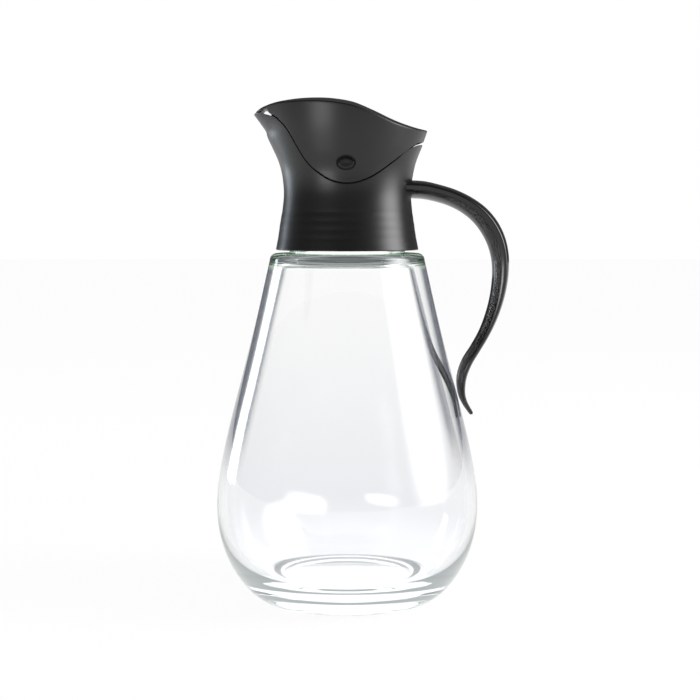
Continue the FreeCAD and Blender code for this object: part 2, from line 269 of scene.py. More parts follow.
def first_root(gap: Callable[[float], float], start: float, end: float, step: float = 0.1) -> float:
    """The first place from start towards end where gap turns positive, or end."""
    direction = 1.0 if end > start else -1.0
    low = start
    if gap(low) > 0.0:
        return low
    while (end - low) * direction > 1e-9:
        high = low + direction * min(step, abs(end - low))
        if gap(high) > 0.0:
            for _ in range(24):
                middle = 0.5 * (low + high)
                if gap(middle) > 0.0:
                    high = middle
                else:
                    low = middle
            return high
        low = high
    return end


# --- meshes -----------------------------------------------------------------------------------------------
def skin(shape: bmesh.types.BMesh, rings: Sequence[Sequence[Vector]], around: bool, along: bool) -> None:
    """Adds quads between neighbouring rings of points, given in millimetres.

    Args:
        shape: the mesh being made.
        rings: equally long rows of points.
        around: whether the last row joins the first.
        along: whether each row's last point joins its first.
    """
    grid = [[shape.verts.new(p * MM) for p in ring] for ring in rings]
    rows, columns = len(grid), len(grid[0])
    for i in range(rows if around else rows - 1):
        for j in range(columns if along else columns - 1):
            a, b = grid[i], grid[(i + 1) % rows]
            k = (j + 1) % columns
            shape.faces.new((a[j], b[j], b[k], a[k]))


def finished(shape: bmesh.types.BMesh, name: str, sharp_deg: float = 40.0) -> bpy.types.Object:
    """Closes a mesh's doubles and poles, turns its faces outwards and links it as an object at the origin.

    Args:
        shape: the mesh, in metres; it is used up.
        name: the piece's name.
        sharp_deg: edges that bend more than this are kept crisp.

    Returns:
        The new object.
    """
    bmesh.ops.remove_doubles(shape, verts=shape.verts[:], dist=0.002 * MM)
    bmesh.ops.dissolve_degenerate(shape, edges=shape.edges[:], dist=0.0005 * MM)
    bmesh.ops.recalc_face_normals(shape, faces=shape.faces[:])
    mesh = bpy.data.meshes.new(name)
    shape.to_mesh(mesh)
    shape.free()
    mesh.shade_smooth()
    mesh.set_sharp_from_angle(angle=math.radians(sharp_deg))
    return linked(name, mesh)


def turned_spread(step_deg: float, dense: Sequence[tuple[float, float, float]]) -> list[float]:
    """Angles once round the axis, closer together in some sectors.

    Args:
        step_deg: the usual step.
        dense: sectors as (start, end, step), in degrees, in rising order within 0 to 360.

    Returns:
        The angles in radians.
    """
    angles: list[float] = []
    at = 0.0
    for start, end, step in (*dense, (360.0, 360.0, 1.0)):
        plain = max(1, round((start - at) / step_deg)) if start > at else 0
        angles += [at + (start - at) * i / plain for i in range(plain)]
        close = round((end - start) / step)
        angles += [start + (end - start) * i / close for i in range(close)]
        at = end
    return [math.radians(a) for a in angles]


def turned_rings(outline: Callable[[float], Profile], dense: Sequence[tuple[float, float, float]]) -> Rings:
    """The points of a section that depends on its angle, once round the axis.

    Args:
        outline: the section, as (radius, height) points, at an angle.
        dense: sectors where the sections stand closer, as for turned_spread.

    Returns:
        One row of points for each angle.
    """
    rings = []
    for angle in turned_spread(ANGLE_STEP, dense):
        c, s = math.cos(angle), math.sin(angle)
        rings.append([Vector((r * c, r * s, z)) for r, z in outline(angle)])
    return rings


def oval_rings(centre: Point, steps: Sequence[tuple[float, float, float]], side: int, count: int) -> Rings:
    """Ovals about a line along Y, given as (half length, half height, distance from the middle plane)."""
    px, pz = centre
    turns = [FULL_TURN * i / count for i in range(count)]
    return [[Vector((px + a * math.cos(t), side * y, pz + b * math.sin(t))) for t in turns] for a, b, y in steps]


# --- node trees -------------------------------------------------------------------------------------------
Feed = Union["Value", float, int, bool, tuple, str, bpy.types.ID, None]


def math_method(operation: str, about: str, swapped: bool = False) -> Callable[..., "Value"]:
    """A method of Value that adds one Math node.

    Args:
        operation: the Math node's operation.
        about: what the method's docstring says.
        swapped: whether the other value goes first.

    Returns:
        The method.
    """
    def method(self: "Value", *others: Feed) -> "Value":
        return self.graph.math(operation, *((*others, self) if swapped else (self, *others)))

    method.__doc__ = about
    return method


class Value:
    """One output socket of a node; the usual operators add Math nodes to its tree."""

    __add__ = __radd__ = math_method("ADD", "This plus other.")
    __sub__ = math_method("SUBTRACT", "This less other.")
    __rsub__ = math_method("SUBTRACT", "Other less this.", swapped=True)
    __mul__ = __rmul__ = math_method("MULTIPLY", "This times other.")
    __truediv__ = math_method("DIVIDE", "This over other.")
    __pow__ = math_method("POWER", "This to a power.")
    __mod__ = math_method("FLOORED_MODULO", "What is left of this after dividing by other.")
    sin = math_method("SINE", "Its sine.")
    cos = math_method("COSINE", "Its cosine.")
    root = math_method("SQRT", "Its square root.")
    floor = math_method("FLOOR", "The whole number below it.")
    sign = math_method("SIGN", "1, 0 or -1.")
    size = math_method("ABSOLUTE", "Its size without its sign.")
    at_least = math_method("MAXIMUM", "The larger of the two.")
    at_most = math_method("MINIMUM", "The smaller of the two.")

    def __init__(self, graph: "Graph", socket: bpy.types.NodeSocket) -> None:
        """Wraps one socket of a graph."""
        self.graph = graph
        self.socket = socket

    def band(self, low: float, high: float) -> "Value":
        """A smooth rise from 0 at low to 1 at high."""
        return self.graph.node("ShaderNodeMapRange", {"interpolation_type": "SMOOTHSTEP"},
                               {"Value": self, "From Min": low, "From Max": high, "To Min": 0.0, "To Max": 1.0})

    def out(self, name: str) -> "Value":
        """Another output of the same node."""
        return Value(self.graph, self.graph.pick(self.socket.node.outputs, name))


class Graph:
    """A node tree being written, for a material, a world or Geometry Nodes."""

    def __init__(self, tree: bpy.types.NodeTree) -> None:
        """Starts on an empty tree."""
        self.tree = tree
        tree.nodes.clear()

    @staticmethod
    def pick(sockets: bpy.types.NodeInputs, key: Union[str, int]) -> bpy.types.NodeSocket:
        """The socket with a name, of those in use, or with a number."""
        if isinstance(key, int):
            return sockets[key]
        return next(s for s in sockets if s.name == key and s.enabled)

    def node(self, kind: str, settings: Optional[dict[str, object]] = None,
             inputs: Optional[dict[Union[str, int], Feed]] = None, out: Union[str, int] = 0) -> Value:
        """Adds one node.

        Args:
            kind: the node's type name.
            settings: its own settings, set before its sockets.
            inputs: a value or a link for each socket named or numbered.
            out: the output wanted.

        Returns:
            That output.
        """
        made = self.tree.nodes.new(kind)
        for name, value in (settings or {}).items():
            setattr(made, name, value)
        for key, value in (inputs or {}).items():
            socket = self.pick(made.inputs, key)
            if isinstance(value, Value):
                self.tree.links.new(value.socket, socket)
            else:
                socket.default_value = value
        if not made.outputs:
            return Value(self, None)
        if isinstance(out, int):
            usable = [s for s in made.outputs if s.enabled]
            return Value(self, usable[out])
        return Value(self, self.pick(made.outputs, out))

    def math(self, operation: str, *values: Feed) -> Value:
        """A Math node."""
        return self.node("ShaderNodeMath", {"operation": operation}, dict(enumerate(values)))

    def split(self, vector: Value) -> tuple[Value, Value, Value]:
        """The three parts of a vector."""
        x = self.node("ShaderNodeSeparateXYZ", {}, {"Vector": vector}, "X")
        return x, x.out("Y"), x.out("Z")

    def joined(self, x: Feed, y: Feed, z: Feed) -> Value:
        """A vector of three parts."""
        return self.node("ShaderNodeCombineXYZ", {}, {"X": x, "Y": y, "Z": z})

    def blend_colour(self, share: Feed, first: Feed, second: Feed) -> Value:
        """A colour between two, by share."""
        inputs = {"Factor": share, "A": first, "B": second}
        return self.node("ShaderNodeMix", {"data_type": "RGBA"}, inputs, "Result")


class BodyTree:
    """A Geometry Nodes tree that grows a closed body in its finish from a chain of points."""

    def __init__(self, name: str, numbers: dict[str, str]) -> None:
        """Starts the tree.

        Args:
            name: the tree's name.
            numbers: the kind, Int or Float, of each of its number inputs by label.
        """
        self.tree = bpy.data.node_groups.new(name, "GeometryNodeTree")
        face = self.tree.interface
        face.new_socket("Chain", in_out="INPUT", socket_type="NodeSocketGeometry")
        self.inputs = {label: face.new_socket(label, in_out="INPUT", socket_type="NodeSocket" + kind)
                       for label, kind in (*numbers.items(), ("Finish", "Material"))}
        face.new_socket("Body", in_out="OUTPUT", socket_type="NodeSocketGeometry")
        self.graph = Graph(self.tree)
        self.given = self.graph.node("NodeGroupInput", out="Chain")

    def close(self, grid: Value, position: Value) -> None:
        """Puts the grid's points in place, joins its open edges, smooths it and gives it its finish."""
        g = self.graph
        turned = g.node("GeometryNodeSetPosition", {}, {"Geometry": grid, "Position": position})
        closed = g.node("GeometryNodeMergeByDistance", {}, {"Geometry": turned, "Distance": MERGE_MM * MM})
        smooth = g.node("GeometryNodeSetShadeSmooth", {}, {"Geometry": closed, "Shade Smooth": True})
        real = g.node("GeometryNodeRealizeInstances", {}, {"Geometry": smooth})
        finish = self.given.out("Finish")
        dressed = g.node("GeometryNodeSetMaterial", {}, {"Geometry": real, "Material": finish})
        g.node("NodeGroupOutput", {}, {"Body": dressed})


class TurnedTree(BodyTree):
    """Turns a profile of points about Z into a closed body, with a knurl of ridges round its foot."""

    def __init__(self) -> None:
        """Builds the tree."""
        super().__init__("turned body", {"Segments": "Int", "Knurl depth": "Float", "Knurl top": "Float"})
        g, given = self.graph, self.given
        rows = g.node("GeometryNodeAttributeDomainSize", {"component": "MESH"}, {"Geometry": given},
                      "Point Count")
        segments = given.out("Segments")
        grid = g.node("GeometryNodeMeshGrid", {}, {"Vertices X": segments + 1, "Vertices Y": rows}, "Mesh")
        index = g.node("GeometryNodeInputIndex")
        place = g.node("GeometryNodeInputPosition")
        row = index % rows
        column = (index / rows).floor()
        radius, _, height = g.split(g.node("GeometryNodeSampleIndex", {"data_type": "FLOAT_VECTOR"},
                                           {"Geometry": given, "Value": place, "Index": row}, "Value"))
        angle = column * FULL_TURN / segments
        ridge = (column * 0.5).floor() * 2.0
        low = 1.0 - (height / given.out("Knurl top")).at_most(1.0).at_least(0.0)
        reach = (column - ridge) * given.out("Knurl depth") * (low * 4.0).at_most(1.0)
        shell = radius - reach * radius.sign()
        self.close(grid, g.joined(shell * angle.cos(), shell * angle.sin(), height))


class StrapTree(BodyTree):
    """Runs a creased oval section along a path, with a saddle root and a rounded tail."""

    def __init__(self) -> None:
        """Builds the tree."""
        super().__init__("swept strap", {
            "Rows": "Int", "Sides": "Int", "Crease": "Float", "Edge sharpness": "Float", "Tail round": "Float",
            "Saddle radius": "Float", "Saddle run": "Float"})
        g, given = self.graph, self.given
        curve = g.node("GeometryNodeMeshToCurve", {}, {"Mesh": given}, "Curve")
        curve = g.node("GeometryNodeCurveSplineType", {"spline_type": "CATMULL_ROM"}, {"Curve": curve})
        curve = g.node("GeometryNodeSetSplineResolution", {}, {"Geometry": curve, "Resolution": 16})
        rows, sides = given.out("Rows"), given.out("Sides")
        grid = g.node("GeometryNodeMeshGrid", {}, {"Vertices X": sides + 1, "Vertices Y": rows}, "Mesh")
        index = g.node("GeometryNodeInputIndex")
        row = index % rows
        side = (index / rows).floor()
        last = rows - 1
        share = row / last
        length = g.node("GeometryNodeCurveLength", {}, {"Curve": curve}, "Length")

        def sample(attribute: str) -> Value:
            """One of the path's numbers at this row."""
            named = g.node("GeometryNodeInputNamedAttribute", {"data_type": "FLOAT"}, {"Name": attribute},
                           "Attribute")
            return g.node("GeometryNodeSampleCurve", {"mode": "FACTOR", "data_type": "FLOAT"},
                          {"Curves": curve, "Value": named, "Factor": share}, "Value")

        thickness = sample("thickness")
        width = sample("width")
        middle, along = thickness.out("Position"), thickness.out("Tangent")
        to_end = (1.0 - share) * length
        t = (1.0 - to_end / given.out("Tail round")).at_least(0.0)
        tail = (1.0 - t * t).at_least(0.0).root()
        open_root = row.at_most(1.0)
        scale = tail * open_root
        turn = side * FULL_TURN / sides
        tx, _, tz = g.split(along)
        outer = turn.sin().sign() * 0.5 + 0.5
        crease = given.out("Crease")
        reach = outer * (0.5 - crease) + (1.0 - outer) * (0.5 + crease)
        off = (crease + reach * turn.sin()) * thickness * scale
        cosine = turn.cos()
        across = cosine.sign() * cosine.size() ** given.out("Edge sharpness") * width * 0.5 * scale
        mx, _, mz = g.split(middle)
        px, pz = mx - tz * off, mz + tx * off
        saddle = given.out("Saddle radius")
        bent = (saddle * saddle - across * across).at_least(0.0).root()
        run = given.out("Saddle run")
        fade = (1.0 - (px - saddle) / run).at_most(1.0).at_least(0.0)
        px = px - (saddle - bent) * fade * fade
        self.close(grid, g.joined(px, across, pz))


def linked(name: str, mesh: bpy.types.Mesh) -> bpy.types.Object:
    """A new object for a mesh, at the origin."""
    thing = bpy.data.objects.new(name, mesh)
    bpy.context.scene.collection.objects.link(thing)
    return thing


def grown(name: str, base: bpy.types.Mesh, body: BodyTree, sizes: dict[str, Feed]) -> bpy.types.Object:
    """Runs a body's tree over a chain of points and keeps the result as a plain mesh.

    Args:
        name: the piece's name.
        base: the chain that the tree starts from.
        body: the tree.
        sizes: a value for each of the tree's inputs, by label.

    Returns:
        A plain mesh object at the origin.
    """
    seed = linked(name + "_base", base)
    modifier = seed.modifiers.new(body.tree.name, "NODES")
    modifier.node_group = body.tree
    for label, value in sizes.items():
        modifier[body.inputs[label].identifier] = value
    bpy.context.view_layer.update()
    depsgraph = bpy.context.evaluated_depsgraph_get()
    mesh = bpy.data.meshes.new_from_object(seed.evaluated_get(depsgraph))
    seed.modifiers.clear()
    bpy.data.objects.remove(seed)
    shape = bmesh.new()
    shape.from_mesh(mesh)
    bmesh.ops.recalc_face_normals(shape, faces=shape.faces[:])
    shape.to_mesh(mesh)
    shape.free()
    mesh.name = name
    return linked(name, mesh)


def chain_mesh(name: str, places: Sequence[Vector], numbers: dict[str, Sequence[float]]) -> bpy.types.Mesh:
    """A mesh of points joined in a chain, with named numbers on the points, for a tree to start from."""
    mesh = bpy.data.meshes.new(name)
    mesh.from_pydata([p * MM for p in places], [(i, i + 1) for i in range(len(places) - 1)], [])
    for label, values in numbers.items():
        layer = mesh.attributes.new(label, "FLOAT", "POINT")
        for item, value in zip(layer.data, values):
            item.value = value * MM
    return mesh


# --- finishes ---------------------------------------------------------------------------------------------
def new_material(name: str) -> tuple[bpy.types.Material, Graph]:
    """An empty node material and the graph that writes it."""
    material = bpy.data.materials.new(name)
    material.use_nodes = True
    return material, Graph(material.node_tree)


def noise_bump(g: Graph, place: Value, size: float, detail: float, rough: float,
               depth: float) -> tuple[Value, Value]:
    """Noise over a piece and the surface it raises.

    Args:
        g: the material's graph.
        place: where the noise is looked up.
        size: the noise's size, in millimetres.
        detail: its detail.
        rough: its roughness.
        depth: how high it rises, in millimetres.

    Returns:
        The noise, and the normal of the uneven surface.
    """
    noise = g.node("ShaderNodeTexNoise", {}, {
        "Vector": place, "Scale": 1.0 / (size * MM), "Detail": detail, "Roughness": rough}, "Fac")
    return noise, g.node("ShaderNodeBump", {}, {"Strength": 1.0, "Distance": depth * MM, "Height": noise})


@dataclass(frozen=True)
class ClearGlass:
    """Thick clear soda-lime glass, faintly green along long paths.

    Three things stand in for the darker and lighter surroundings that real glass gathers at its edges: dark
    lines where the upper walls are seen edge on, green ends on the shoulder, and a little light of the glass's
    own in the shoulder and the heel, where it would otherwise show black. Heights are (start, end) of a smooth
    change, in millimetres; facings are the same, from 0 face on to 1 edge on.
    """

    name: str = "clear_thick_glass"
    ior: float = 1.52
    tint: Colour = (0.62, 0.84, 0.72, 1.0)
    density: float = 3.0
    wave_mm: float = 14.0
    wave_depth: float = 0.02
    # painted dark reflections: lines where the upper walls are seen edge on, in place of dark surroundings
    painted_reflection_heights: tuple[float, float] = (38.0, 62.0)
    painted_reflection_facing: tuple[float, float] = (0.54, 0.70)
    painted_reflection_colour: Colour = (0.06, 0.067, 0.09, 1.0)
    shoulder_from: tuple[float, float] = (117.5, 119.5)
    # painted light: a green tint where the shoulder is seen edge on
    painted_green_edge_facing: tuple[float, float] = (0.45, 0.70)
    painted_green_edge_colour: Colour = (0.25, 0.46, 0.27, 1.0)
    # painted light: an emission in the shoulder, though the glass is no lamp
    painted_shoulder_light: Colour = (0.055, 0.06, 0.06, 1.0)
    # painted light: an emission in the heel, fading out between these heights
    painted_heel_light_up_to: tuple[float, float] = (10.0, 28.0)
    painted_heel_light: Colour = (0.062, 0.066, 0.066, 1.0)
    # painted shade: the clear colour greys a little towards the bottom
    painted_low_shade: Colour = (0.935, 0.935, 0.950, 1.0)
    painted_low_shade_from: tuple[float, float] = (30.0, 110.0)

    def build(self) -> bpy.types.Material:
        """Writes the material."""
        material, g = new_material(self.name)
        place = g.node("ShaderNodeTexCoord", out="Object")
        surface = noise_bump(g, place, self.wave_mm, 1.0, 0.4, self.wave_depth)[1]
        height = g.split(place)[2] / MM
        facing = g.node("ShaderNodeLayerWeight", {}, {"Blend": 0.5, "Normal": surface}, "Facing")
        # painted dark reflections: darker colour where the upper walls are seen edge on
        upper = height.band(*self.painted_reflection_heights)
        shoulder = height.band(*self.shoulder_from)
        lines = facing.band(*self.painted_reflection_facing) * upper
        # painted shade: greyer clear colour below 30 to 110 mm
        clear = g.blend_colour(height.band(*self.painted_low_shade_from), self.painted_low_shade, WHITE)
        colour = g.blend_colour(lines, clear, self.painted_reflection_colour)
        # painted light: green on the shoulder where it is seen edge on
        ends = facing.band(*self.painted_green_edge_facing) * shoulder
        colour = g.blend_colour(ends, colour, self.painted_green_edge_colour)
        # painted light: emission in the shoulder, away from its green edges, and in the heel, where the glass
        # would show black
        low = 1.0 - height.band(*self.painted_heel_light_up_to)
        glow = g.blend_colour(shoulder * (1.0 - ends), BLACK, self.painted_shoulder_light)
        glow = g.blend_colour(low, glow, self.painted_heel_light)
        shader = g.node("ShaderNodeBsdfPrincipled", {}, {
            "Base Color": colour, "Roughness": 0.0, "IOR": self.ior, "Transmission Weight": 1.0,
            "Normal": surface, "Emission Color": glow, "Emission Strength": 1.0})
        inside = g.node("ShaderNodeVolumeAbsorption", {}, {"Color": self.tint, "Density": self.density})
        g.node("ShaderNodeOutputMaterial", {}, {"Surface": shader, "Volume": inside})
        return material


@dataclass(frozen=True)
class MouldedPlastic:
    """Black moulded plastic with a fine grain and slightly uneven gloss."""

    name: str
    colour: Colour
    warm: Colour
    roughness: float
    spread: float
    specular: float
    grain_mm: float
    grain_depth: float
    cloud_mm: float = 18.0
    cloud_band: Point = (0.35, 0.7)
    fine_spread: float = 0.05

    def build(self) -> bpy.types.Material:
        """Writes the material."""
        material, g = new_material(self.name)
        place = g.node("ShaderNodeTexCoord", out="Object")
        cloud = g.node("ShaderNodeTexNoise", {}, {"Vector": place, "Scale": 1.0 / (self.cloud_mm * MM),
                                                  "Detail": 3.0}, "Fac")
        fine, surface = noise_bump(g, place, self.grain_mm, 2.0, 0.6, self.grain_depth)
        colour = g.blend_colour(cloud.band(*self.cloud_band), self.colour, self.warm)
        rough = cloud * self.spread + (self.roughness - 0.5 * self.spread) + (fine - 0.5) * self.fine_spread
        shader = g.node("ShaderNodeBsdfPrincipled", {}, {
            "Base Color": colour, "Roughness": rough, "Specular IOR Level": self.specular, "Normal": surface})
        g.node("ShaderNodeOutputMaterial", {}, {"Surface": shader})
        return material


class Finish(Enum):
    """The finishes of the dispenser's pieces."""

    GLASS = ClearGlass()
    SATIN = MouldedPlastic(
        "satin_black_plastic", (0.004, 0.004, 0.0044, 1.0), (0.006, 0.0057, 0.0056, 1.0), roughness=0.34,
        spread=0.05, specular=0.45, grain_mm=0.35, grain_depth=0.006)
    GLOSS = MouldedPlastic(
        "gloss_black_plastic", (0.0035, 0.003, 0.0035, 1.0), (0.007, 0.005, 0.0055, 1.0), roughness=0.16,
        spread=0.04, specular=0.5, grain_mm=2.5, grain_depth=0.004)


class Dresser:
    """Makes each finish once and hands it out."""

    def __init__(self) -> None:
        """Starts with none made."""
        self.made: dict[Finish, bpy.types.Material] = {}

    def material(self, finish: Finish) -> bpy.types.Material:
        """The material of a finish."""
        if finish not in self.made:
            self.made[finish] = finish.value.build()
        return self.made[finish]


# --- the glass bottle -------------------------------------------------------------------------------------
@dataclass
class GlassBottle:
    """A pear of thick clear glass on a foot ring, with a flat shoulder and a neck inside the head."""

    foot_inner_r: float = 28.6
    foot_outer_r: float = 31.6
    body: tuple[Point, ...] = (
        (34.55, 2.0), (37.45, 5.0), (42.1, 12.0), (45.2, 20.0), (46.8, 33.6), (45.05, 48.8), (38.8, 74.9),
        (32.7, 98.6))
    inner_body: tuple[Point, ...] = (
        (33.0, 9.3), (38.4, 15.0), (41.6, 22.5), (42.9, 33.6), (41.1, 48.8), (34.75, 74.9), (28.7, 98.6),
        (24.0, 117.0))
    inner_shoulder: tuple[Point, ...] = ((24.0, 117.0), (23.1, 119.3))
    inner_shoulder_r: float = 20.6
    shoulder_z: float = 123.2
    shoulder_r: float = 27.52
    shoulder_round: float = 2.4
    shoulder_glass: float = 2.9
    neck_r: float = 20.5
    neck_bore_r: float = 16.8
    neck_top_z: float = 140.2
    lip_round: float = 1.2
    bore_round: float = 1.0
    neck_root_round: float = 0.8
    heel_edge: tuple[Point, ...] = ((0.55, 0.3), (0.3, 0.1), (0.0, 0.0))
    punt_edge: Point = (-1.3, 0.45)
    punt_z: float = 4.6
    punt_rim: Point = (25.6, 1.6)
    floor_z: float = 9.0
    trough: Point = (24.5, 7.0)
    segments: int = 216
    knurl_depth: float = 0.09
    knurl_top: float = 1.1

    def profile(self) -> Profile:
        """The glass's outline from the inner floor's middle, over the lip, to the hollow base's middle."""
        cavity_top = self.shoulder_z - self.shoulder_glass
        floor = dome_points(self.floor_z, self.trough, 9)[::2]
        points = fair_curve((*floor, *self.inner_body), 150)
        points += fair_curve((*self.inner_shoulder, (self.inner_shoulder_r, cavity_top)), 8)[1:]
        bend = (self.neck_bore_r + self.bore_round, cavity_top + self.bore_round)
        points += line_points((self.inner_shoulder_r, cavity_top), (bend[0], cavity_top), 4)[1:]
        points += arc_points(bend, self.bore_round, 270.0, 180.0, 5)[1:]
        lip_z = self.neck_top_z - self.lip_round
        points += line_points((self.neck_bore_r, bend[1]), (self.neck_bore_r, lip_z), 8)[1:]
        points += arc_points((self.neck_bore_r + self.lip_round, lip_z), self.lip_round, 180.0, 90.0, 5)[1:]
        points += arc_points((self.neck_r - self.lip_round, lip_z), self.lip_round, 90.0, 0.0, 5)
        root = (self.neck_r + self.neck_root_round, self.shoulder_z + self.neck_root_round)
        points += line_points((self.neck_r, lip_z), (self.neck_r, root[1]), 8)[1:]
        points += arc_points(root, self.neck_root_round, 180.0, 270.0, 5)[1:]
        edge = (self.shoulder_r - self.shoulder_round, self.shoulder_z - self.shoulder_round)
        points += line_points((root[0], self.shoulder_z), (edge[0], self.shoulder_z), 6)[1:]
        points += arc_points(edge, self.shoulder_round, 90.0, 0.0, 10)[1:]
        heel = [(self.foot_outer_r + out, z) for out, z in self.heel_edge]
        points += fair_curve(((self.shoulder_r, edge[1]), *self.body[::-1], heel[0]), 150)[1:]
        points += heel[1:]
        points += line_points((self.foot_outer_r, 0.0), (self.foot_inner_r, 0.0), 4)[1:]
        punt_edge = (self.foot_inner_r + self.punt_edge[0], self.punt_edge[1])
        points += fair_curve(((self.foot_inner_r, 0.0), punt_edge, self.punt_rim), 6)[1:]
        return points + dome_points(self.punt_z, self.punt_rim, 28)[::-1][1:]

    def build(self, dresser: Dresser) -> list[bpy.types.Object]:
        """Makes the bottle.

        Args:
            dresser: where its finish comes from.

        Returns:
            The bottle alone.
        """
        base = chain_mesh("bottle_profile", [Vector((r, 0.0, z)) for r, z in self.profile()], {})
        piece = grown("clear_glass_bottle", base, TurnedTree(), {
            "Segments": self.segments, "Knurl depth": self.knurl_depth * MM, "Knurl top": self.knurl_top * MM,
            "Finish": dresser.material(Finish.GLASS)})
        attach(piece, "base")
        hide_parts("glass_bottle")
        return [piece]


# --- the pouring head -------------------------------------------------------------------------------------
@dataclass
class HeadForm:
    """The surfaces that the collar and the lid share.

    The back, the front and the two sides are (height, radius); the seam, the ridge, the spout's rim and the
    lid's mouth are (x, height).
    """

    back: SmoothLine = field(default_factory=lambda: SmoothLine((
        (124.4, 25.35), (129.0, 24.45), (134.0, 23.7), (139.0, 22.98), (144.5, 22.6), (149.0, 23.0),
        (151.7, 23.47), (154.5, 24.11), (157.3, 25.08), (160.1, 26.24), (162.95, 27.2), (165.0, 27.92),
        (182.0, 33.0))))
    front: SmoothLine = field(default_factory=lambda: SmoothLine((
        (124.4, 25.35), (129.0, 24.5), (134.0, 23.78), (139.0, 22.9), (144.5, 22.43), (149.0, 22.75),
        (152.5, 23.35), (156.0, 24.45), (160.0, 26.28), (163.8, 28.05), (164.3, 28.25), (165.1, 28.33),
        (168.5, 30.4), (171.9, 32.9), (182.0, 40.0))))
    side: SmoothLine = field(default_factory=lambda: SmoothLine((
        (124.4, 25.35), (129.0, 24.45), (134.0, 23.6), (139.5, 22.75), (145.5, 22.2), (152.0, 22.75),
        (158.5, 24.8), (166.0, 26.9), (182.0, 29.2))))
    lid_side: SmoothLine = field(default_factory=lambda: SmoothLine((
        (124.4, 25.7), (134.0, 24.2), (145.5, 23.25), (152.0, 23.75), (158.5, 25.55), (166.0, 27.3),
        (182.0, 29.5))))
    seam: SmoothLine = field(default_factory=lambda: SmoothLine((
        (-24.3, 169.9), (-20.9, 166.2), (-18.7, 162.5), (-14.6, 155.6), (-8.7, 150.15), (-0.6, 147.45),
        (7.2, 149.15), (16.0, 154.85), (22.7, 160.0), (25.2, 161.0), (27.2, 161.3))))
    ridge: SmoothLine = field(default_factory=lambda: SmoothLine((
        (-40.0, 163.5), (-31.9, 172.72), (-30.05, 174.13), (-27.9, 175.17), (-24.7, 176.25),
        (-20.9, 177.0), (-16.6, 177.55), (-12.4, 177.8), (-3.9, 177.45), (2.4, 176.25), (8.8, 173.62),
        (17.2, 169.68), (23.6, 167.42), (27.7, 166.35), (36.0, 165.2))))
    roof_fall: float = 0.149
    roof_crest: float = 10.0
    spout_rim: tuple[Point, ...] = (
        (-25.1, 170.5), (-27.9, 171.44), (-29.4, 171.85), (-29.7, 172.3), (-32.0, 172.3), (-33.2, 171.75))
    lid_mouth: tuple[Point, ...] = (
        (-25.1, 170.9), (-26.6, 171.6), (-27.3, 172.2), (-27.45, 174.0), (-29.4, 173.8), (-30.1, 172.6),
        (-31.8, 172.5))
    beak_x: float = -31.9
    spout_sharpness: float = 13.0
    seam_gap: float = 0.35
    rear_gap: tuple[float, float] = (0.65, 1.1)
    lid_rear_x: float = 24.6
    collar_wall: float = 1.7
    lid_wall: float = 1.5
    lid_edge_wall: float = 0.3
    lid_edge_grows: Point = (0.05, 0.09)
    thinned_over: float = 8.0
    roof_wall: float = 1.6
    pivot: Point = (-0.35, 154.25)

    def __post_init__(self) -> None:
        """Works out the lid's lower edge, a fixed gap above the seam."""
        edge = []
        for x, z in self.seam.points[:-2]:
            slope = self.seam.slope(x)
            length = math.hypot(1.0, slope)
            edge.append((x - self.seam_gap * slope / length, z + self.seam_gap / length))
        self.lid_edge_line = SmoothLine(tuple(edge))
        (_, low), (last_x, last_z) = self.seam.points[-2:]
        near, far = self.rear_gap
        self.lid_rear = (edge[-1], (self.lid_rear_x, low + near), (last_x, last_z + far))
        self.lid_front = (edge[0], *self.lid_mouth)

    def radius(self, angle: float, z: float, side: SmoothLine) -> float:
        """Outer radius of the head: round at the back and the sides, drawn out to a spout at the front."""
        along = math.cos(angle)
        width = side.at(z)
        if along >= 0.0:
            return width + (self.back.at(z) - width) * along ** 2
        return width + (self.front.at(z) - width) * abs(along) ** self.spout_sharpness

    def collar_edge(self, x: float) -> float:
        """Height of the collar's upper edge at x."""
        first, last = self.seam.points[0], self.seam.points[-1]
        if x < first[0]:
            return straight_run((first, *self.spout_rim), x)
        return self.seam.at(x) if x < last[0] else last[1]

    def lid_edge(self, x: float) -> float:
        """Height of the lid's lower edge at x."""
        points = self.lid_edge_line.points
        if x < points[0][0]:
            return straight_run(self.lid_front, x)
        return self.lid_edge_line.at(x) if x < points[-1][0] else straight_run(self.lid_rear, x)

    def roof(self, x: float, y: float) -> float:
        """Height of the lid's roof."""
        return self.ridge.at(x) - self.roof_fall * (math.hypot(y, self.roof_crest) - self.roof_crest)

    def lid_inner(self, angle: float, z: float) -> float:
        """Inner radius of the lid's skirt: a full wall at the front, thinned towards the seam at the back.

        The thinned wall grows with the height above the seam and with its square.
        """
        outer = self.radius(angle, z, self.lid_side)
        x = outer * math.cos(angle)
        above = max(0.0, z - self.seam.at(min(x, self.seam.points[-1][0])))
        grows, bends = self.lid_edge_grows
        thin = self.lid_edge_wall + grows * above + bends * above ** 2
        rearward = min(1.0, max(0.0, 0.5 + x / self.thinned_over))
        return outer - min(self.lid_wall, rearward * thin + (1.0 - rearward) * self.lid_wall)


